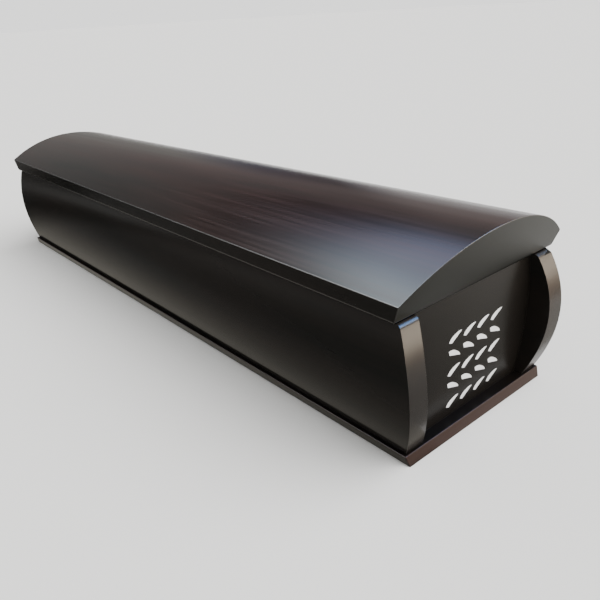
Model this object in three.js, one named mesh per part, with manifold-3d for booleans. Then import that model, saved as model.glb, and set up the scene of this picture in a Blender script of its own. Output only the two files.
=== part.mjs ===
// A lacquered wooden coffin with a domed lid.
//
// A thin base board shows as a narrow ledge all along the coffin. Two side boards stand on it. They bow
// outwards between their foot and their rim, and their ends are cut to a convex curve. The head board and
// the foot board stand upright between them, set back from the ends. The lid lies loose on the rim: a
// domed shell with leaning ends and a shallow edge band, with two lips below that drop between the boards
// and keep it in place. The whole coffin is a little wider and higher at the head than at the foot.
//
// Millimetres. +Z is up, the head is towards -Y and the foot towards +Y. The origin is on the ground,
// below the middle of the whole outline.

import * as THREE from 'three';
import { mergeVertices } from 'three/addons/utils/BufferGeometryUtils.js';
import Module from 'manifold-3d';

const wasm = await Module();
wasm.setup();

// Base board. Its ends flare outwards and its long sides are undercut from the upper edge down.
const BASE_LENGTH = 2050;
const BASE_HEAD_WIDTH = 500;
const BASE_FOOT_WIDTH = 460;
const BASE_THICKNESS = 24;
const BASE_END_FLARE = 9;
const BASE_SIDE_UNDERCUT = 6;

// Side boards. They are highest at the head, and the drop is how much lower they are at the foot. The lean
// is how much further out the rim is than the foot of the board, the bow is the bulge at half height, and
// the end setbacks are measured back from the upper edge of the base's end.
const SIDE_HEAD_HEIGHT = 302;
const SIDE_HEIGHT_DROP = 12;
const SIDE_THICKNESS = 53;
const BASE_LEDGE = 9.5;
const SIDE_HEAD_LEAN = 22;
const SIDE_FOOT_LEAN = 10;
const SIDE_HEAD_BOW = 23.5;
const SIDE_FOOT_BOW = 16;
const SIDE_END_UPPER_SETBACK = 9;
const SIDE_END_LOWER_SETBACK = 6;
const SIDE_END_BULGE = 36;

// Head board and foot board, both set back from the ends of the base.
const END_BOARD_THICKNESS = 40;
const END_BOARD_SETBACK = 27;

// Lid. The tip is the sharp edge between the dome and the edge band.
const LID_HEAD_RISE = 94.5;
const LID_FOOT_RISE = 65;
const LID_BAND_HEIGHT = 44;
const LID_BAND_TUCK = 5.5;
const LID_SIDE_OVERHANG = 17;
const LID_END_OVERHANG = 2;
const LID_END_LEAN_DEGREES = 20;
const LID_LOWER_ROUND = 9;
const LID_DOME_THICKNESS = 28;
const LID_END_WALL = 45;

// Lips below the lid, inside the side boards.
const LIP_DEPTH = 12;
const LIP_THICKNESS = 14;
const LIP_CLEARANCE = 3;

// Painted inscription on the head board: rows of short brush strokes, cut in shallowly.
const INSCRIPTION_OFF_CENTRE = 14;
const INSCRIPTION_HEIGHT_ABOVE_BASE = 114;
const STROKE_ROWS = 5;
const STROKES_PER_ROW = 4;
const STROKE_ROW_PITCH = 40;
const STROKE_PITCH = 50;
const STROKE_LENGTH = 47;
const STROKE_WIDTH = 15;
const STROKE_DEPTH = 1;
const STROKE_SLANT_DEGREES = 24;

// Gap that is left between two pieces that touch.
const SEAT_GAP = 0.3;

// Fineness of the curved faces.
const BOW_STEPS = 24;
const DOME_STEPS = 44;
const ROUND_STEPS = 4;
const LENGTH_STEPS = 12;

const BASE_END = BASE_LENGTH / 2;
const LID_LEAN = Math.tan(THREE.MathUtils.degToRad(LID_END_LEAN_DEGREES));

const LACQUER = { color: 0x2a2522, roughness: 0.28, metalness: 0 };

// Value at the place y of a size that runs straight from the head to the foot of the base.
function along(headValue, footValue, y) {
  return THREE.MathUtils.lerp(headValue, footValue, 0.5 + y / BASE_LENGTH);
}

// Bulge of a bowed line: 0 at both ends and 1 in the middle.
function bow(share) {
  return 4 * share * (1 - share);
}

// Every piece is a stack of long rows. outlineAt(y) gives its cross-section at y as points (x, z) that run
// up one side and down the other, seen from the head, with opposite points across from each other.
// headEnd and footEnd turn a point of the outline into the y at which its row ends.
function boardGeometry(outlineAt, headEnd, footEnd, steps = 1) {
  const count = outlineAt(0).length;
  const positions = [];
  const triangles = [];
  const rowEnd = (row, start, endAt) => {
    let y = start;
    for (let pass = 0; pass < 4; pass++) {
      y = endAt(outlineAt(y)[row]);
    }
    return y;
  };
  for (let row = 0; row < count; row++) {
    const head = rowEnd(row, -BASE_END, headEnd);
    const foot = rowEnd(row, BASE_END, footEnd);
    for (let step = 0; step <= steps; step++) {
      const y = THREE.MathUtils.lerp(head, foot, step / steps);
      const point = outlineAt(y)[row];
      positions.push(point.x, y, point.y);
    }
  }
  const vertex = (row, step) => (row % count) * (steps + 1) + step;
  const quad = (a, b, c, d) => triangles.push(a, b, c, a, c, d);
  for (let row = 0; row < count; row++) {
    for (let step = 0; step < steps; step++) {
      quad(vertex(row, step), vertex(row + 1, step), vertex(row + 1, step + 1), vertex(row, step + 1));
    }
  }
  for (let rung = 0; rung < count / 2 - 1; rung++) {
    const across = count - 1 - rung;
    quad(vertex(rung, 0), vertex(across, 0), vertex(across - 1, 0), vertex(rung + 1, 0));
    quad(vertex(rung, steps), vertex(rung + 1, steps), vertex(across - 1, steps), vertex(across, steps));
  }
  const geometry = new THREE.BufferGeometry();
  geometry.setAttribute('position', new THREE.Float32BufferAttribute(positions, 3));
  geometry.setIndex(triangles);
  return geometry;
}

// The same outline on the other side of the coffin, still running up and then down seen from the head.
function mirrored(outline) {
  return outline.map((point) => new THREE.Vector2(-point.x, point.y)).reverse();
}

// A left half, from its foot up to the middle, completed by its mirror image.
function symmetric(leftHalf) {
  return [...leftHalf, ...mirrored(leftHalf)];
}

function toManifold(geometry) {
  const bare = geometry.clone();
  bare.deleteAttribute('normal');
  bare.deleteAttribute('uv');
  const merged = mergeVertices(bare, 1e-4);
  return new wasm.Manifold(new wasm.Mesh({
    numProp: 3,
    vertProperties: Float32Array.from(merged.attributes.position.array),
    triVerts: Uint32Array.from(merged.index.array),
  }));
}

function toGeometry(manifold) {
  const mesh = manifold.getMesh();
  const geometry = new THREE.BufferGeometry();
  geometry.setAttribute('position', new THREE.BufferAttribute(mesh.vertProperties, 3));
  geometry.setIndex(new THREE.BufferAttribute(mesh.triVerts, 1));
  return geometry;
}

// Shared faces that the pieces seat on and line up with.

const sideFoot = BASE_THICKNESS + SEAT_GAP;

function rimHeight(y) {
  return sideFoot + SIDE_HEAD_HEIGHT - along(0, SIDE_HEIGHT_DROP, y);
}

// Outer face of a side board as a distance from the middle, at a share of its height.
function sideOuter(y, share) {
  const foot = along(BASE_HEAD_WIDTH, BASE_FOOT_WIDTH, y) / 2 - BASE_LEDGE;
  const lean = along(SIDE_HEAD_LEAN, SIDE_FOOT_LEAN, y) * share;
  return foot + lean + along(SIDE_HEAD_BOW, SIDE_FOOT_BOW, y) * bow(share);
}

function sideInner(y, share) {
  return sideOuter(y, share) - SIDE_THICKNESS;
}

const endBoardFront = BASE_END - END_BOARD_SETBACK;
const endBoardBack = endBoardFront - END_BOARD_THICKNESS;

function baseBoard() {
  const outlineAt = (y) => {
    const half = along(BASE_HEAD_WIDTH, BASE_FOOT_WIDTH, y) / 2;
    return symmetric([
      new THREE.Vector2(BASE_SIDE_UNDERCUT - half, 0),
      new THREE.Vector2(-half, BASE_THICKNESS),
    ]);
  };
  const reach = (point) => BASE_END + BASE_END_FLARE * (1 - point.y / BASE_THICKNESS);
  return boardGeometry(outlineAt, (point) => -reach(point), reach);
}

function leftSideOutline(y) {
  const outer = [];
  const inner = [];
  for (let step = 0; step <= BOW_STEPS; step++) {
    const share = step / BOW_STEPS;
    const z = THREE.MathUtils.lerp(sideFoot, rimHeight(y), share);
    outer.push(new THREE.Vector2(-sideOuter(y, share), z));
    inner.push(new THREE.Vector2(-sideInner(y, share), z));
  }
  return [...outer, ...inner.reverse()];
}

function sideBoard(outlineAt) {
  const reach = (point, y) => {
    const share = (point.y - sideFoot) / (rimHeight(y) - sideFoot);
    const setback = THREE.MathUtils.lerp(SIDE_END_LOWER_SETBACK, SIDE_END_UPPER_SETBACK, share);
    return BASE_END - setback + SIDE_END_BULGE * bow(share);
  };
  const headEnd = (point) => -reach(point, -BASE_END);
  const footEnd = (point) => reach(point, BASE_END);
  return boardGeometry(outlineAt, headEnd, footEnd, LENGTH_STEPS);
}

// A board that fills the width between the side boards and follows their bow.
function endBoard(fromY, toY) {
  const outlineAt = (y) => {
    const leftEdge = [];
    for (let step = 0; step <= BOW_STEPS; step++) {
      const share = step / BOW_STEPS;
      const z = THREE.MathUtils.lerp(sideFoot, rimHeight(y), share);
      leftEdge.push(new THREE.Vector2(SEAT_GAP - sideInner(y, share), z));
    }
    return symmetric(leftEdge);
  };
  return boardGeometry(outlineAt, () => fromY, () => toY);
}

// One brush stroke lying along X in the plane of the board: a blunt slanted head and a tapering tail.
function strokeShape() {
  const half = STROKE_LENGTH / 2;
  const thick = STROKE_WIDTH / 2;
  const shape = new THREE.Shape();
  shape.moveTo(-half, thick * 0.1);
  shape.lineTo(-half + thick, -thick);
  shape.quadraticCurveTo(0, -thick * 0.7, half, -thick * 0.35);
  shape.quadraticCurveTo(half * 0.8, thick * 0.6, 0, thick * 0.85);
  shape.quadraticCurveTo(-half * 0.6, thick * 1.1, -half, thick * 0.1);
  return shape;
}

// Cutters for the inscription, sunk into the head board's front face. The slant turns over from row to row.
function strokeCutters(boardFaceY) {
  const cutters = [];
  const slant = THREE.MathUtils.degToRad(STROKE_SLANT_DEGREES);
  const geometry = new THREE.ExtrudeGeometry(strokeShape(), {
    depth: 2 * STROKE_DEPTH,
    bevelEnabled: false,
    curveSegments: 4,
  });
  for (let row = 0; row < STROKE_ROWS; row++) {
    for (let place = 0; place < STROKES_PER_ROW; place++) {
      const across = (place - (STROKES_PER_ROW - 1) / 2) * STROKE_PITCH;
      const up = (row - (STROKE_ROWS - 1) / 2) * STROKE_ROW_PITCH;
      const cutter = geometry.clone();
      cutter.rotateZ(row % 2 === 0 ? slant : -slant);
      cutter.rotateX(Math.PI / 2);
      cutter.translate(
        INSCRIPTION_OFF_CENTRE + across,
        boardFaceY + STROKE_DEPTH,
        BASE_THICKNESS + INSCRIPTION_HEIGHT_ABOVE_BASE + up,
      );
      cutters.push(toManifold(cutter));
    }
  }
  return cutters;
}

function headBoard() {
  let board = toManifold(endBoard(-endBoardFront, -endBoardBack));
  for (const cutter of strokeCutters(-endBoardFront)) {
    board = board.subtract(cutter);
  }
  return toGeometry(board);
}

function lidFoot(y) {
  return rimHeight(y) + SEAT_GAP;
}

function tipHeight(y) {
  return lidFoot(y) + LID_BAND_HEIGHT;
}

function tipHalfWidth(y) {
  return sideOuter(y, 1) + LID_SIDE_OVERHANG;
}

// The dome is an arc of a circle over the two tips.
function domeCircle(y) {
  const half = tipHalfWidth(y);
  const rise = along(LID_HEAD_RISE, LID_FOOT_RISE, y);
  const radius = (half * half + rise * rise) / (2 * rise);
  return { radius, centre: tipHeight(y) + rise - radius, spread: Math.asin(half / radius) };
}

// Point of a circle round the dome's centre, at an angle to the left of the upright.
function onArc(dome, radius, angle) {
  return new THREE.Vector2(-radius * Math.sin(angle), dome.centre + radius * Math.cos(angle));
}

// Left half of the lid: the rounded lower edge, the edge band, and half of the dome.
function lidOutline(y) {
  const tip = tipHalfWidth(y);
  const foot = lidFoot(y);
  const corner = tip - LID_BAND_TUCK;
  const leftHalf = [];
  for (let step = 0; step <= ROUND_STEPS; step++) {
    const turn = (step / ROUND_STEPS) * Math.PI / 2;
    const inward = LID_LOWER_ROUND * (1 - Math.sin(turn));
    const upward = LID_LOWER_ROUND * (1 - Math.cos(turn));
    const flare = LID_BAND_TUCK * upward / LID_BAND_HEIGHT;
    leftHalf.push(new THREE.Vector2(inward - corner - flare, foot + upward));
  }
  const dome = domeCircle(y);
  for (let step = 0; step < DOME_STEPS / 2; step++) {
    const angle = dome.spread * (1 - 2 * step / DOME_STEPS);
    leftHalf.push(onArc(dome, dome.radius, angle));
  }
  return symmetric(leftHalf);
}

// How far the lid reaches at the height z, past the middle of the coffin, towards the end at endY.
function lidReach(z, endY) {
  const upward = THREE.MathUtils.clamp(z - lidFoot(endY), 0, LID_LOWER_ROUND);
  const roundTurn = Math.acos(1 - upward / LID_LOWER_ROUND);
  const rounding = LID_LOWER_ROUND * (1 - Math.sin(roundTurn));
  return BASE_END + LID_END_OVERHANG + (z - tipHeight(endY)) * LID_LEAN - rounding;
}

// Hollow below the dome. It goes down past the lips, and its ends lean as the lid's ends do.
function lidHollow() {
  const outlineAt = (y) => {
    const half = sideInner(y, 1) - LIP_CLEARANCE - LIP_THICKNESS;
    const dome = domeCircle(y);
    const radius = dome.radius - LID_DOME_THICKNESS;
    const spread = Math.asin(half / radius);
    const leftHalf = [new THREE.Vector2(-half, lidFoot(y) - 2 * LIP_DEPTH)];
    for (let step = 0; step < DOME_STEPS / 2; step++) {
      const angle = spread * (1 - 2 * step / DOME_STEPS);
      leftHalf.push(onArc(dome, radius, angle));
    }
    return symmetric(leftHalf);
  };
  const reach = (point, endY) => {
    const overEdge = (Math.max(point.y, lidFoot(endY)) - tipHeight(endY)) * LID_LEAN;
    return BASE_END + LID_END_OVERHANG - LID_END_WALL + overEdge;
  };
  const headEnd = (point) => -reach(point, -BASE_END);
  const footEnd = (point) => reach(point, BASE_END);
  return boardGeometry(outlineAt, headEnd, footEnd, LENGTH_STEPS);
}

// Left lip. It starts inside the solid of the lid so that both become one piece.
function leftLipOutline(y) {
  const outer = sideInner(y, 1) - LIP_CLEARANCE;
  const low = lidFoot(y) - LIP_DEPTH;
  const high = lidFoot(y) + LIP_DEPTH;
  return [
    new THREE.Vector2(-outer, low),
    new THREE.Vector2(-outer, high),
    new THREE.Vector2(LIP_THICKNESS - outer, high),
    new THREE.Vector2(LIP_THICKNESS - outer, low),
  ];
}

function lid() {
  const headEnd = (point) => -lidReach(point.y, -BASE_END);
  const footEnd = (point) => lidReach(point.y, BASE_END);
  const lipEnd = endBoardBack - LIP_CLEARANCE;
  const shell = toManifold(boardGeometry(lidOutline, headEnd, footEnd, LENGTH_STEPS));
  const hollow = toManifold(lidHollow());
  const lips = [leftLipOutline, (y) => mirrored(leftLipOutline(y))].map((outlineAt) =>
    toManifold(boardGeometry(outlineAt, () => -lipEnd, () => lipEnd)));
  return toGeometry(shell.add(lips[0]).add(lips[1]).subtract(hollow));
}

const coffin = new THREE.Group();

function addPiece(name, geometry) {
  const piece = new THREE.Mesh(geometry, new THREE.MeshStandardMaterial(LACQUER));
  piece.name = name;
  coffin.add(piece);
}

addPiece('base_board', baseBoard());
addPiece('left_side_board', sideBoard(leftSideOutline));
addPiece('right_side_board', sideBoard((y) => mirrored(leftSideOutline(y))));
addPiece('head_board', headBoard());
addPiece('foot_board', endBoard(endBoardBack, endBoardFront));
addPiece('lid', lid());

const outline = new THREE.Box3().setFromObject(coffin);
coffin.position.y = -(outline.min.y + outline.max.y) / 2;

export default coffin;
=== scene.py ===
# %% [markdown]
# # A lacquered wooden coffin
#
# This lesson dresses a finished construction model. The model gives six boards at their real size:
# a base board, two bowed side boards, the head board, the foot board and a domed lid. Here each
# board gets the softened edges that sanding and lacquer leave, a brown-black lacquer that lets a
# little of the wood show, and a plain studio around it.
#
# The length runs along Y with the head towards -Y, the width along X, and Z is up. Blender's unit
# is the metre, and small sizes are written in millimetres.

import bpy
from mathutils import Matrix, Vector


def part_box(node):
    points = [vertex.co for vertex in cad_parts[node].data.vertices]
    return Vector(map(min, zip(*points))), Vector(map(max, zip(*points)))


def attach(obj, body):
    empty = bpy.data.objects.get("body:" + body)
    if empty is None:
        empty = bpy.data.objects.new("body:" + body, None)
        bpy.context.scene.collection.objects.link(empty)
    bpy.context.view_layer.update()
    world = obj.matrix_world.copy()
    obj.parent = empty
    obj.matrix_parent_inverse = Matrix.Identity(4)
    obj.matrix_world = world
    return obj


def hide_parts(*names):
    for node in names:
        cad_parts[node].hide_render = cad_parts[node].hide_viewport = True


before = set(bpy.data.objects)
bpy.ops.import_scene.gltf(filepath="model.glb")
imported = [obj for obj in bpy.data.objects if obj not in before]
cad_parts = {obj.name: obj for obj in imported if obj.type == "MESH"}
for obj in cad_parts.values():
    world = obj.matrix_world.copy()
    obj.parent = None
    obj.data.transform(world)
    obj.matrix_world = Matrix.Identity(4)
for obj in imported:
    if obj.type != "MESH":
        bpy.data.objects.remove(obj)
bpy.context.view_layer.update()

import math

import bmesh
import bpy
from mathutils import Matrix, Quaternion, Vector

MM = 0.001
print("boards:", sorted(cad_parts))

# %% [markdown]
# ## The camera
#
# The picture is taken from off the head's left corner, a little above the lid, with the camera
# slightly turned. A constraint could aim the camera at a point, but it can't hold the small turn
# about the view axis, so the direction becomes a rotation and the turn is multiplied in. Blender
# takes the lens and the sensor in millimetres.

# %% Camera
LENS = 38.38
SENSOR = 36.0
CAMERA_FROM_BASE = Vector((-1.0644, -1.6955, 0.8674))
VIEW_DIRECTION = Vector((0.582678, 0.696152, -0.419354))
CAMERA_TURN = math.radians(-3.36)


def into_scene(name, data):
    """A new object in the scene, made of a mesh, a camera or a light."""
    thing = bpy.data.objects.new(name, data)
    bpy.context.scene.collection.objects.link(thing)
    return thing


base_low, base_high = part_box("base_board")
base_middle = Vector((0.0, (base_low.y + base_high.y) / 2, 0.0))

camera = into_scene("camera", bpy.data.cameras.new("camera"))
camera.data.lens = LENS
camera.data.sensor_width = SENSOR
camera.location = base_middle + CAMERA_FROM_BASE
camera.rotation_mode = "QUATERNION"
aim = VIEW_DIRECTION.to_track_quat("-Z", "Y")
camera.rotation_quaternion = aim @ Quaternion((0, 0, 1), CAMERA_TURN)
bpy.context.scene.camera = camera
print("camera at", [round(value, 3) for value in camera.location])

# %% [markdown]
# ## Wires and finishes
#
# A shader graph is easier to read as a formula. A Wire is one output of a node; adding or
# multiplying wires adds Math nodes. A Finish is a material that is being mixed: its node method
# makes any other node from its type, its settings and what goes into its sockets.


# %% Wire
class Wire:
    """One number, colour or vector that varies over a surface."""

    def __init__(self, finish, socket):
        self.finish = finish
        self.socket = socket

    def _math(self, operation, first, second):
        return self.finish.node("ShaderNodeMath", {"operation": operation}, {0: first, 1: second})

    def __add__(self, other):
        return self._math("ADD", self, other)

    def __radd__(self, other):
        return self._math("ADD", other, self)

    def __sub__(self, other):
        return self._math("SUBTRACT", self, other)

    def __rsub__(self, other):
        return self._math("SUBTRACT", other, self)

    def __mul__(self, other):
        return self._math("MULTIPLY", self, other)

    def __rmul__(self, other):
        return self._math("MULTIPLY", other, self)


# %% [markdown]
# A Mix node has a pair of inputs for every kind of value, all named A and B, so the pair for
# colours is picked by its place in the list of sockets.

# %% Finish
FIRST_COLOUR = 6
SECOND_COLOUR = 7
MIXED_COLOUR = 2


class Finish:
    """A material, mixed from wires and set on its one shader."""

    def __init__(self, name):
        self.material = bpy.data.materials.new(name)
        self.material.use_nodes = True
        self.tree = self.material.node_tree
        self.shader = self.tree.nodes["Principled BSDF"]

    def node(self, kind, settings=None, sockets=None, output=0):
        made = self.tree.nodes.new(kind)
        for name, value in (settings or {}).items():
            if name == "stops":
                self._set_stops(made.color_ramp, value)
            else:
                setattr(made, name, value)
        for key, value in (sockets or {}).items():
            self._feed(made.inputs[key], value)
        return Wire(self, made.outputs[output])

    def set(self, **sockets):
        for name, value in sockets.items():
            self._feed(self.shader.inputs[name.replace("_", " ")], value)

    def mix(self, factor, first, second):
        """A colour between two others."""
        return self.node(
            "ShaderNodeMix",
            {"data_type": "RGBA"},
            {"Factor": factor, FIRST_COLOUR: first, SECOND_COLOUR: second},
            output=MIXED_COLOUR,
        )

    def ramp(self, along, stops):
        """A level or a colour that changes along a wire from 0 to 1."""
        return self.node("ShaderNodeValToRGB", {"stops": stops}, {"Fac": along})

    def bump(self, height):
        """The surface's direction where it rises and falls by a height in metres."""
        return self.node("ShaderNodeBump", {}, {"Height": height, "Distance": 1.0})

    def _feed(self, socket, value):
        if isinstance(value, Wire):
            self.tree.links.new(value.socket, socket)
        else:
            socket.default_value = value

    def _set_stops(self, ramp, stops):
        while len(ramp.elements) < len(stops):
            ramp.elements.new(1.0)
        for element, (position, level) in zip(ramp.elements, stops):
            element.position = position
            shade = level if isinstance(level, tuple) else (level, level, level)
            element.color = (*shade, 1.0)


# %% [markdown]
# ## The lacquer
#
# The real finish is a nearly black lacquer, rubbed smooth. It lets warm brown wood show faintly, in
# long soft bands, and keeps fine streaks along the board from the brush. A picture of wood could do
# this, but it would need to be unwrapped over every board. Noise that is stretched along the board
# gives the same bands and streaks at true scale, on any shape.

# %% Noise along a board
NOISE_MIDDLE = 0.5


def colour(red, green, blue):
    return (red, green, blue, 1.0)


def stretched_noise(finish, across, along, grain_axis, detail=2.0):
    """Noise whose spots are `across` metres wide and `along` metres long."""
    place = finish.node("ShaderNodeTexCoord", output="Object")
    scale = [1 / across] * 3
    scale["xyz".index(grain_axis)] = 1 / along
    stretched = finish.node("ShaderNodeMapping", {}, {"Vector": place, "Scale": scale})
    return finish.node(
        "ShaderNodeTexNoise", {}, {"Vector": stretched, "Scale": 1.0, "Detail": detail}
    )


# %% [markdown]
# Four noises make a lacquer, each with its own width and length: soft bands of warm wood, the
# grain, the marks of the brush, and waves so shallow that they show only in what the lacquer
# mirrors. The shares say how much of the warm colour each lets through, and the depths how far it
# stands out.

# %% Lacquer
BANDS = (120 * MM, 900 * MM)
GRAIN = (3 * MM, 700 * MM)
BRUSH_MARKS = (7 * MM, 1400 * MM)
WAVES = (80 * MM, 500 * MM)
BAND_STOPS = [(0.38, 0.0), (0.62, 1.0)]
STREAK_STOPS = [(0.4, 0.0), (0.62, 1.0)]
BAND_SHARE = 0.6
STREAK_SHARE = 0.3
GRAIN_SHARE = 0.1
WAVE_DEPTH = 0.12 * MM
BRUSH_DEPTH = 0.02 * MM
GRAIN_DEPTH = 0.01 * MM
ROUGHNESS_CHANGE = 0.16


def lacquer(name, dark, warm, roughness, grain_axis, refraction, streaks):
    finish = Finish(name)
    bands = finish.ramp(stretched_noise(finish, *BANDS, grain_axis), BAND_STOPS)
    grain = stretched_noise(finish, *GRAIN, grain_axis)
    brushed = stretched_noise(finish, *BRUSH_MARKS, grain_axis)
    waves = stretched_noise(finish, *WAVES, grain_axis, detail=1.0)
    fine_streaks = finish.ramp(brushed, STREAK_STOPS)
    warmth = bands * BAND_SHARE + fine_streaks * (STREAK_SHARE * streaks) + grain * GRAIN_SHARE
    marks = brushed * (BRUSH_DEPTH * streaks) + grain * (GRAIN_DEPTH * streaks)
    finish.set(
        Base_Color=finish.mix(warmth, dark, warm),
        Roughness=roughness + (brushed - NOISE_MIDDLE) * (ROUGHNESS_CHANGE * streaks),
        Normal=finish.bump(waves * WAVE_DEPTH + marks),
        IOR=refraction,
    )
    print(name, "with its grain along", grain_axis)
    return finish.material


# %% [markdown]
# ## Softened edges
#
# Sandpaper and several coats of lacquer leave no edge sharp, and it is these narrow rounds that
# catch the light and draw the outline of each board. The construction model has sharp edges, so
# every board is copied, its triangles are joined into larger faces, and the outer edges are rounded
# in the mesh. A Bevel modifier could round them too, but it would also work on the hidden hollow of
# the lid.

# %% Copy a board and join its triangles
MERGE_DISTANCE = 0.005 * MM
NEARLY_FLAT = math.radians(3)
FLAT = math.radians(0.2)
WELL_IN_AN_END = 0.8


def joined_copy(node_name):
    mesh = bmesh.new()
    mesh.from_mesh(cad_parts[node_name].data)
    bmesh.ops.remove_doubles(mesh, verts=mesh.verts, dist=MERGE_DISTANCE)
    bmesh.ops.join_triangles(
        mesh,
        faces=mesh.faces,
        angle_face_threshold=NEARLY_FLAT,
        angle_shape_threshold=math.pi,
    )
    needless = [
        edge
        for edge in mesh.edges
        if edge.is_manifold
        and edge.calc_face_angle() < FLAT
        and all(abs(face.normal.y) > WELL_IN_AN_END for face in edge.link_faces)
    ]
    bmesh.ops.dissolve_edges(mesh, edges=needless, use_verts=False)
    return mesh


# %% [markdown]
# The rounding also sorts the faces: those along the board, its two ends, the rounded edges, and
# others that a board may need. An end shows cut wood that drinks more lacquer, and an edge is
# rubbed through a little and given a lighter colour that also paints its highlight, so each can
# have a finish of its own.

# %% Round the edges
SHARP = math.radians(35)
ROUNDER = 9.0 * MM
ROUNDER_STEPS = 5
EDGE_STEPS = 3
FACES_AN_END = 0.7
LARGE_FACES_FIRST = 100
ALONG, END, EDGE, OTHER = range(4)


def is_sharp(edge):
    return edge.is_manifold and edge.is_convex and edge.calc_face_angle() > SHARP


def round_edges(mesh, edges, radius, steps):
    return bmesh.ops.bevel(
        mesh,
        geom=edges,
        offset=radius,
        segments=steps,
        profile=0.5,
        affect="EDGES",
        clamp_overlap=True,
    )["faces"]


def eased_copy(node_name, radius, is_eased=lambda edge: True, is_rounder=lambda edge: False):
    """A copy of a board, with some edges rounded by a radius and some rounder."""
    mesh = joined_copy(node_name)
    rounder = [edge for edge in mesh.edges if is_sharp(edge) and is_rounder(edge)]
    rounded = round_edges(mesh, rounder, ROUNDER, ROUNDER_STEPS) if rounder else []
    rounded_edges = {edge for face in rounded for edge in face.edges}
    sharp = [
        edge
        for edge in mesh.edges
        if is_sharp(edge) and is_eased(edge) and edge not in rounded_edges
    ]
    for face in mesh.faces:
        face.material_index = END if abs(face.normal.y) > FACES_AN_END else ALONG
    for face in rounded + round_edges(mesh, sharp, radius, EDGE_STEPS):
        if face.is_valid:
            face.material_index = EDGE
    copy = bpy.data.meshes.new(node_name + "_eased")
    mesh.to_mesh(copy)
    mesh.free()
    copy.polygons.foreach_set("use_smooth", [True] * len(copy.polygons))
    copy.set_sharp_from_angle(angle=SHARP)
    board = into_scene(node_name + "_lacquered", copy)
    even = board.modifiers.new("even shading", "WEIGHTED_NORMAL")
    even.keep_sharp = True
    even.weight = LARGE_FACES_FIRST
    print(node_name, "rounded edges:", len(sharp), "faces:", len(copy.polygons))
    return board


# %% Give a board its finishes
def finish_board(board, node_name, finishes, is_other=lambda face: False):
    """Finishes in order: along the board, its ends, its rounded edges, and other faces."""
    for finish in finishes:
        board.data.materials.append(finish)
    for face in board.data.polygons:
        if face.material_index == ALONG and is_other(face):
            face.material_index = OTHER
    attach(board, "root")
    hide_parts(node_name)


# %% [markdown]
# ## The lid
#
# The domed lid lies loose on the box, and it is the piece that the light shows best. Its lacquer
# has the clearest bands and streaks. One finish all over would be simpler, but the edge band leans
# inwards below, out of the light, and looks as dark as the sides, so the faces that look down take
# their less warm lacquer as a painted shade. The leaning ends are duller, and hands rub the edges,
# whose lighter lacquer is partly wear and partly a painted highlight.

# %% Lacquers on the lid
lid_lacquer = lacquer(
    "lacquer_on_the_lid",
    dark=colour(0.0075, 0.0068, 0.0062),
    warm=colour(0.021, 0.0105, 0.0088),
    roughness=0.2,
    grain_axis="y",
    refraction=1.2,
    streaks=1.1,
)
lid_end_lacquer = lacquer(
    "lacquer_on_the_lid_ends",
    dark=colour(0.0078, 0.0078, 0.0060),
    warm=colour(0.0098, 0.0092, 0.0072),
    roughness=0.28,
    grain_axis="x",
    refraction=1.2,
    streaks=0.1,
)
side_lacquer = lacquer(
    "lacquer_on_the_sides",
    dark=colour(0.0075, 0.0075, 0.0068),
    warm=colour(0.0120, 0.0095, 0.0081),
    roughness=0.17,
    grain_axis="y",
    refraction=1.2,
    streaks=0.8,
)
# The edges' lacquer is lighter than the boards': partly wear, partly a painted highlight along
# them.
wear_and_highlight_lacquer = lacquer(
    "rubbed_edges_and_painted_highlights",
    dark=colour(0.013, 0.012, 0.011),
    warm=colour(0.022, 0.018, 0.016),
    roughness=0.3,
    grain_axis="y",
    refraction=1.45,
    streaks=0.5,
)

# %% [markdown]
# The lid's edges are rounded only 1.5 mm. The lips that hold it on the box are hidden when it is
# closed, and stay sharp. The rounded foot of the band is where hands lift the lid. It is part of
# the construction model, so it is found by the way that its faces lean, and it gets the lighter
# lacquer of the edges, which paints a highlight line along it.

# %% Lid
LID_ROUND = 1.5 * MM
BAND_FACES_OUT = 0.8
BAND_FOOT_LEAN = (-0.5, -0.2)

head_low, head_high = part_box("head_board")
foot_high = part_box("foot_board")[1]


def clear_of_the_lips(edge):
    """The lips reach down between the head board and the foot board."""
    return all(
        abs(point.co.x) > head_high.x or not head_low.y < point.co.y < foot_high.y
        for point in edge.verts
    )


def at_the_foot_of_the_band(face):
    low, high = BAND_FOOT_LEAN
    return abs(face.normal.x) > BAND_FACES_OUT and low < face.normal.z < high


# Faces that look down get the sides' less warm lacquer: a painted shade.
def faces_down_in_painted_shade(face):
    return face.normal.z < 0


lid = eased_copy("lid", LID_ROUND, clear_of_the_lips)
# The band's foot takes the edges' lighter lacquer as a painted highlight line.
for face in lid.data.polygons:
    if at_the_foot_of_the_band(face):
        face.material_index = EDGE
finish_board(
    lid, "lid", [lid_lacquer, lid_end_lacquer, wear_and_highlight_lacquer, side_lacquer], faces_down_in_painted_shade
)

# %% [markdown]
# ## The side boards
#
# The two thick boards bow outwards and end in a long curve that was sawn and then planed. One
# radius all round would be simpler, but the long upper edges carry the lid and stay sharp, and the
# tops of the ends, which show beside the lid, are worked rounder than the rest. The cut ends are
# paler and catch more light.

# %% Side boards
SIDE_ROUND = 3.0 * MM
RIM_EDGE_LENGTH = 100 * MM
RIM_DEPTH = 40 * MM
TOP_EDGE_WIDTH = 30 * MM
TOP_EDGE_DEPTH = 20 * MM

side_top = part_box("left_side_board")[1].z
end_lacquer = lacquer(
    "lacquer_on_the_cut_ends",
    dark=colour(0.017, 0.0150, 0.0138),
    warm=colour(0.028, 0.0205, 0.0165),
    roughness=0.25,
    grain_axis="z",
    refraction=1.25,
    streaks=0.3,
)


def lowest(edge):
    return min(point.co.z for point in edge.verts)


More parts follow.
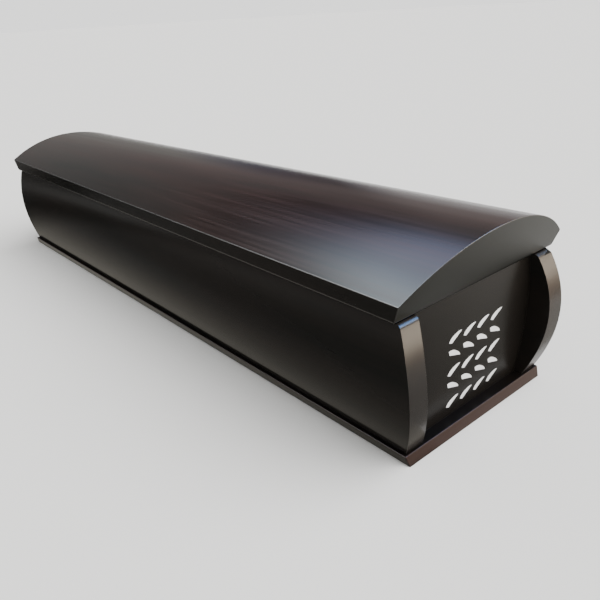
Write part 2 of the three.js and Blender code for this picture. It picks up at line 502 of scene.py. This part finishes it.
def clear_of_the_rim(edge):
    """Leave out the long edges that the lid rests on."""
    along = abs(edge.verts[0].co.y - edge.verts[1].co.y)
    return along < RIM_EDGE_LENGTH or lowest(edge) < side_top - RIM_DEPTH


def at_the_top_of_an_end(edge):
    across = abs(edge.verts[0].co.x - edge.verts[1].co.x)
    return across > TOP_EDGE_WIDTH and lowest(edge) > side_top - TOP_EDGE_DEPTH


for name in ("left_side_board", "right_side_board"):
    side = eased_copy(name, SIDE_ROUND, clear_of_the_rim, at_the_top_of_an_end)
    finish_board(side, name, [side_lacquer, end_lacquer, wear_and_highlight_lacquer])

# %% [markdown]
# ## The head board and the foot board
#
# These upright boards stand between the side boards, so their edges nearly touch their neighbours
# and are only just broken, by 0.8 mm. The lacquer of the sides could cover them too, but their
# grain runs across the box and they shine less. The foot board is hidden from this side, and is
# finished like the head board but left plain. The edges to round are picked by their place, because
# the beds of the painted strokes are cut into the head board's face and stay crisp.

# %% Head board and foot board
END_BOARD_ROUND = 0.8 * MM
STROKES_WITHIN = 150 * MM
STROKES_ABOVE = 40 * MM

cross_lacquer = lacquer(
    "lacquer_across_the_end_boards",
    dark=colour(0.0085, 0.0072, 0.0060),
    warm=colour(0.0115, 0.0088, 0.0070),
    roughness=0.26,
    grain_axis="x",
    refraction=1.2,
    streaks=0.25,
)


def on_the_outline(edge):
    return any(
        abs(point.co.x) > STROKES_WITHIN or point.co.z < STROKES_ABOVE for point in edge.verts
    )


for name in ("head_board", "foot_board"):
    end_board = eased_copy(name, END_BOARD_ROUND, on_the_outline)
    finish_board(end_board, name, [cross_lacquer, cross_lacquer, wear_and_highlight_lacquer])

# %% [markdown]
# ## The base board
#
# The thin base board stands out a little all round. The shade of the bowed sides could be left to
# the light alone, but here the faces of the ledge that look up get a duller lacquer of their own,
# whose nearly black colour is a painted shade. The end of the board shows redder wood.

# %% Base board
BASE_ROUND = 1.5 * MM
LOOKS_UP = 0.9

base_end_lacquer = lacquer(
    "lacquer_on_the_base_end",
    dark=colour(0.014, 0.0072, 0.0060),
    warm=colour(0.024, 0.0105, 0.0090),
    roughness=0.35,
    grain_axis="x",
    refraction=1.22,
    streaks=0.4,
)
# The ledge's darker colours are a painted shade under the bowed sides.
ledge_lacquer_with_painted_shade = lacquer(
    "lacquer_on_the_ledge_with_painted_shade",
    dark=colour(0.0040, 0.0034, 0.0030),
    warm=colour(0.0060, 0.0046, 0.0040),
    roughness=0.3,
    grain_axis="y",
    refraction=1.12,
    streaks=0.3,
)


def faces_up(face):
    return face.normal.z > LOOKS_UP


base = eased_copy("base_board", BASE_ROUND)
finish_board(
    base, "base_board", [side_lacquer, base_end_lacquer, base_end_lacquer, ledge_lacquer_with_painted_shade], faces_up
)

# %% [markdown]
# ## The painted strokes
#
# The head board carries rows of short brush strokes in flat white. They are cut a millimetre deep
# in the board, and the paint fills them almost to the surface. The paint could be a white mask in
# the lacquer, but as thin solids of its own it has a crisp edge and a thickness that catches the
# light. Each solid is the floor of its bed, drawn out towards the surface.

# %% Paint in the strokes
PAINT_THICKNESS = 0.8 * MM
PAINT_ROUND = 0.25 * MM
PAINT_STEPS = 2
FACES_THE_HEAD = -0.9

paint_middle = head_low.y + PAINT_THICKNESS / 2
paint = bmesh.new()
paint.from_mesh(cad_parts["head_board"].data)
bmesh.ops.remove_doubles(paint, verts=paint.verts, dist=MERGE_DISTANCE)
not_beds = [
    face
    for face in paint.faces
    if face.normal.y >= FACES_THE_HEAD or face.calc_center_median().y <= paint_middle
]
bmesh.ops.delete(paint, geom=not_beds, context="FACES")
bmesh.ops.dissolve_limit(paint, angle_limit=FLAT, verts=paint.verts, edges=paint.edges)
stroke_count = len(paint.faces)

lifted = bmesh.ops.extrude_face_region(paint, geom=paint.faces[:], use_keep_orig=True)["geom"]
lifted_points = [part for part in lifted if isinstance(part, bmesh.types.BMVert)]
bmesh.ops.translate(paint, verts=lifted_points, vec=(0, -PAINT_THICKNESS, 0))
bmesh.ops.recalc_face_normals(paint, faces=paint.faces)
rims = [edge for edge in paint.edges if all(point.co.y < paint_middle for point in edge.verts)]
bmesh.ops.bevel(
    paint, geom=rims, offset=PAINT_ROUND, segments=PAINT_STEPS, profile=0.5, affect="EDGES"
)
strokes = into_scene("painted_strokes", bpy.data.meshes.new("painted_strokes"))
paint.to_mesh(strokes.data)
paint.free()
print("painted strokes:", stroke_count)

# %% [markdown]
# The paint is an off-white with faint streaks from the brush, which a flat white would lack. They
# are the same stretched noise as in the lacquer, only finer.

# %% White paint
PAINT_STREAKS = (1.5 * MM, 20 * MM)
PAINT_DEPTH = 0.08 * MM
PAINT_ROUGHNESS = 0.42
PAINT_ROUGHNESS_CHANGE = 0.1
SHADED_WHITE = colour(0.84, 0.83, 0.81)
CLEAN_WHITE = colour(0.9, 0.89, 0.88)

white_paint = Finish("white_paint")
streak = stretched_noise(white_paint, *PAINT_STREAKS, "x", detail=3.0)
white_paint.set(
    Base_Color=white_paint.mix(streak, SHADED_WHITE, CLEAN_WHITE),
    Roughness=PAINT_ROUGHNESS + streak * PAINT_ROUGHNESS_CHANGE,
    Normal=white_paint.bump(streak * PAINT_DEPTH),
)
strokes.data.materials.append(white_paint.material)
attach(strokes, "root")
print("paint on", strokes.name)

# %% [markdown]
# ## The floor and the backdrop
#
# The object stands on a plain pale floor that is wide enough to fill the picture. Beyond it the
# world would show as a darker band, so a pale ring stands round the floor. A curved sheet could
# join floor and wall, but it would throw light back on the lacquer. Only the camera sees the ring:
# it adds no light and isn't mirrored.

# %% Floor
FLOOR_SIZE = 400.0


def flat_panel(name, width, height):
    """A rectangle in the plane of X and Y, round its own origin."""
    half_width, half_height = width / 2, height / 2
    corners = [
        (-half_width, -half_height, 0),
        (half_width, -half_height, 0),
        (half_width, half_height, 0),
        (-half_width, half_height, 0),
    ]
    panel = into_scene(name, bpy.data.meshes.new(name))
    panel.data.from_pydata(corners, [], [(0, 1, 2, 3)])
    return panel


floor = flat_panel("floor", FLOOR_SIZE, FLOOR_SIZE)
floor_finish = Finish("pale_floor")
floor_finish.set(Base_Color=colour(0.88, 0.88, 0.87), Roughness=0.9, Specular_IOR_Level=0.0)
floor.data.materials.append(floor_finish.material)
print("floor", FLOOR_SIZE, "m wide")

# %% Backdrop
BACKDROP_RADIUS = 60.0
BACKDROP_HEIGHT = 70.0
BACKDROP_SIDES = 64
BACKDROP_GLOW = 1.6
BLACK = colour(0, 0, 0)


def glow(finish, light, strength):
    """Make a finish give light and nothing else."""
    finish.set(
        Base_Color=BLACK,
        Specular_IOR_Level=0.0,
        Roughness=1.0,
        Emission_Color=light,
        Emission_Strength=strength,
    )


ring = bmesh.new()
bmesh.ops.create_cone(
    ring,
    cap_ends=False,
    segments=BACKDROP_SIDES,
    radius1=BACKDROP_RADIUS,
    radius2=BACKDROP_RADIUS,
    depth=BACKDROP_HEIGHT,
)
backdrop = into_scene("backdrop", bpy.data.meshes.new("backdrop"))
ring.to_mesh(backdrop.data)
ring.free()
backdrop_finish = Finish("pale_backdrop")
glow(backdrop_finish, colour(1.0, 1.0, 0.99), BACKDROP_GLOW)
backdrop.data.materials.append(backdrop_finish.material)
backdrop.visible_diffuse = False
backdrop.visible_glossy = False
backdrop.visible_shadow = False
print("backdrop", BACKDROP_HEIGHT / 2, "m above the floor")

# %% [markdown]
# ## The light
#
# An even pale sky gives most of the light. A sun as wide as a large window, high over the head's
# right corner, adds a soft shadow under the box. A picture of a studio could light the scene too,
# but these two are easier to set. The sun isn't mirrored, because the reflections get their own
# cards below.

# %% World
SKY_LIGHT = 0.58
SKY_COLOUR = colour(1.0, 0.98, 0.95)

world = bpy.data.worlds.new("studio")
world.use_nodes = True
background = world.node_tree.nodes["Background"]
background.inputs["Color"].default_value = SKY_COLOUR
background.inputs["Strength"].default_value = SKY_LIGHT
bpy.context.scene.world = world
print("sky of strength", SKY_LIGHT)

# %% Sun
SUN_LIGHT = 5.3
SUN_WIDTH = math.radians(70)
SUN_DIRECTION = Vector((-0.35, 0.5, -0.79))

sun = into_scene("sun", bpy.data.lights.new("sun", "SUN"))
sun.data.energy = SUN_LIGHT
sun.data.angle = SUN_WIDTH
sun.rotation_euler = SUN_DIRECTION.to_track_quat("-Z", "Y").to_euler()
sun.visible_glossy = False
print("sun of strength", SUN_LIGHT)

# %% [markdown]
# ## Cards for the reflections
#
# Dark gloss shows hardly any colour of its own. What the eye reads as its shape is the room
# mirrored in it: the sheen along the dome, the warm glow on the curved ends, the paler foot of the
# sides. In a studio this is done with cards and flags around the object. Here each is a glowing
# rectangle that only reflections see, so it shapes the sheen and leaves the floor and the shadows
# alone. Its glow is set with stops from 0 to 1 across it and upwards, which fade it softly where a
# real card would be tilted or shaded.


# %% Cards that only reflections see
def card(name, centre, right, up, size, strength, across, rising, tints):
    """A glowing rectangle with fade stops across it and upwards, and tints across it."""
    panel = flat_panel(name, *size)
    panel.location = centre
    right, up = Vector(right).normalized(), Vector(up).normalized()
    facing = right.cross(up)
    panel.rotation_mode = "QUATERNION"
    panel.rotation_quaternion = Matrix((right, up, facing)).transposed().to_quaternion()
    finish = Finish(name)
    place = finish.node("ShaderNodeTexCoord", output="Generated")
    x_share = finish.node("ShaderNodeSeparateXYZ", {}, {0: place})
    y_share = finish.node("ShaderNodeSeparateXYZ", {}, {0: place}, output=1)
    fade = finish.ramp(x_share, across) * finish.ramp(y_share, rising)
    glow(finish, finish.mix(fade, BLACK, finish.ramp(x_share, tints)), strength)
    panel.data.materials.append(finish.material)
    panel.visible_camera = False
    panel.visible_diffuse = False
    panel.visible_shadow = False
    print(name, "of strength", strength)


def all_over(level):
    """Stops for a level or a tint that stays the same."""
    return [(0.0, level), (1.0, level)]


X_AXIS = (1, 0, 0)
Y_AXIS = (0, 1, 0)
Z_AXIS = (0, 0, 1)
EVEN = all_over(1.0)
WHITE = all_over((1.0, 1.0, 1.0))

# %% [markdown]
# The ceiling and the left card make the broad sheen on the dome, cool at the head. Two walls beyond
# the foot, one above the other, set the level of the ridge, which mirrors them at a low angle.

# %% Cards over the dome
FAR_WALL_LINE = (0.866, -0.5, 0)

card(
    "ceiling_card",
    centre=(0.0, 4.0, 6.4),
    right=X_AXIS,
    up=Y_AXIS,
    size=(12.0, 10.0),
    strength=33.0,
    across=[(0.0, 0.6), (0.2, 1.0), (0.4, 1.0), (0.56, 0.52), (0.79, 0.26), (1.0, 0.0)],
    rising=[
        (0.0, 0.0), (0.15, 1.0), (0.5, 1.0), (0.57, 0.58), (0.65, 0.16), (0.74, 0.03), (0.9, 0.0)
    ],
    tints=[(0.375, (0.77, 0.9, 0.97)), (0.56, (0.67, 0.78, 1.0)), (0.8, (0.55, 0.66, 1.0))],
)
card(
    "far_wall",
    centre=(6.0, 10.4, 1.6),
    right=FAR_WALL_LINE,
    up=Z_AXIS,
    size=(20.0, 3.2),
    strength=1.0,
    across=[(0.25, 0.42), (0.5, 0.47), (0.59, 0.2), (0.68, 0.13), (0.76, 0.8), (0.85, 1.0)],
    rising=EVEN,
    tints=[(0.5, (1.0, 1.0, 0.95)), (0.6, (0.85, 0.85, 1.1)), (0.75, (1.0, 0.95, 0.95))],
)
card(
    "far_wall_higher",
    centre=(6.0, 10.4, 5.7),
    right=FAR_WALL_LINE,
    up=Z_AXIS,
    size=(20.0, 5.0),
    strength=1.0,
    across=[(0.0, 0.53), (0.5, 0.52), (0.6, 0.5), (0.68, 0.5), (0.76, 0.8), (1.0, 0.85)],
    rising=EVEN,
    tints=[(0.0, (0.95, 1.0, 0.98)), (0.28, (0.96, 0.97, 0.94)), (0.42, (1.0, 0.84, 0.82))],
)
card(
    "left_card",
    centre=(-4.6, 4.0, 4.4),
    right=(0.707, 0.707, 0),
    up=Z_AXIS,
    size=(6.4, 5.0),
    strength=14.0,
    across=[(0.0, 1.0), (0.5, 1.0), (0.65, 0.6), (0.82, 0.12), (1.0, 0.0)],
    rising=EVEN,
    tints=WHITE,
)

# %% [markdown]
# In front of the head are a soft card for the end of the lid, a warm window and its light on the
# floor for the curved ends of the side boards, and a patch of blue sky for their rounded tops.

# %% Cards in front of the head
WINDOW_LINE = (0.72, 0.69, 0)
AWAY_FROM_THE_WINDOW = (0.69, -0.72, 0)
WARM = all_over((1.0, 0.86, 0.68))
AMBER = all_over((1.0, 0.78, 0.58))
BLUE = all_over((0.18, 0.45, 1.0))

card(
    "front_card",
    centre=(1.4, -3.3, 3.3),
    right=(0.82, 0.57, 0),
    up=(-0.4, 0.57, 0.71),
    size=(2.4, 1.8),
    strength=12.0,
    across=EVEN,
    rising=EVEN,
    tints=WHITE,
)
card(
    "window_card",
    centre=(2.5, -3.6, 1.0),
    right=WINDOW_LINE,
    up=Z_AXIS,
    size=(3.0, 1.9),
    strength=22.0,
    across=[(0.0, 0.4), (0.15, 1.0), (0.48, 1.0), (0.78, 0.5), (1.0, 0.45)],
    rising=[(0.0, 0.7), (0.1, 0.9), (0.3, 0.9), (1.0, 0.4)],
    tints=WARM,
)
card(
    "sky_card",
    centre=(2.34, -2.35, 3.25),
    right=(0, 0.94, 0.345),
    up=(-0.814, -0.2, 0.545),
    size=(2.5, 1.3),
    strength=25.0,
    across=[(0.0, 0.7), (0.15, 1.0), (0.8, 1.0), (1.0, 0.3)],
    rising=EVEN,
    tints=BLUE,
)
card(
    "warm_pool",
    centre=(1.34, -2.69, 0.01),
    right=WINDOW_LINE,
    up=AWAY_FROM_THE_WINDOW,
    size=(2.6, 2.4),
    strength=9.0,
    across=[(0.0, 1.0), (0.5, 0.95), (1.0, 0.5)],
    rising=[(0.0, 0.1), (0.5, 0.4), (1.0, 1.0)],
    tints=AMBER,
)

# %% [markdown]
# Flags hide the floor from the reflections alone, and set how dark the faces are that would mirror
# it. One lies before the head, for the end of the lid and the head board. One lies along the left
# side, for the side board and the lid's band, and its level changes from the near end to the far
# end, as a pale floor under uneven light would. The last is nearly black and stands upright on the
# left, for the faces that mirror the room above the floor.

# %% Flags
card(
    "front_flag",
    centre=(0.2, -1.86, 0.004),
    right=X_AXIS,
    up=Y_AXIS,
    size=(2.0, 1.6),
    strength=2.3,
    across=[(0.0, 0.2), (0.3, 0.25), (0.525, 0.54), (0.65, 0.75), (0.82, 1.0), (1.0, 1.0)],
    rising=[(0.0, 0.9), (0.76, 0.9), (0.85, 0.7), (0.92, 0.7), (0.95, 0.64), (1.0, 0.5)],
    tints=[(0.0, (1.0, 0.98, 0.9)), (1.0, (1.0, 0.98, 0.92))],
)
card(
    "side_flag",
    centre=(-3.2, 2.0, 0.004),
    right=X_AXIS,
    up=Y_AXIS,
    size=(6.1, 12.0),
    strength=1.0,
    across=[(0.8, 0.9), (0.83, 0.6), (0.905, 0.2), (0.94, 0.18), (0.965, 0.36), (0.985, 0.66)],
    rising=[
        (0.37, 1.0), (0.425, 0.76), (0.45, 0.25), (0.47, 0.12),
        (0.5, 0.34), (0.53, 1.0), (0.56, 0.8), (0.61, 0.2),
    ],
    tints=[(0.0, (1.0, 1.0, 0.98)), (0.95, (1.0, 0.98, 0.94)), (0.975, (1.0, 0.95, 0.83))],
)
card(
    "left_flag",
    centre=(-3.9, 4.0, 0.8),
    right=(0.285, 0.959, 0),
    up=Z_AXIS,
    size=(16.7, 1.6),
    strength=0.15,
    across=EVEN,
    rising=EVEN,
    tints=WHITE,
)
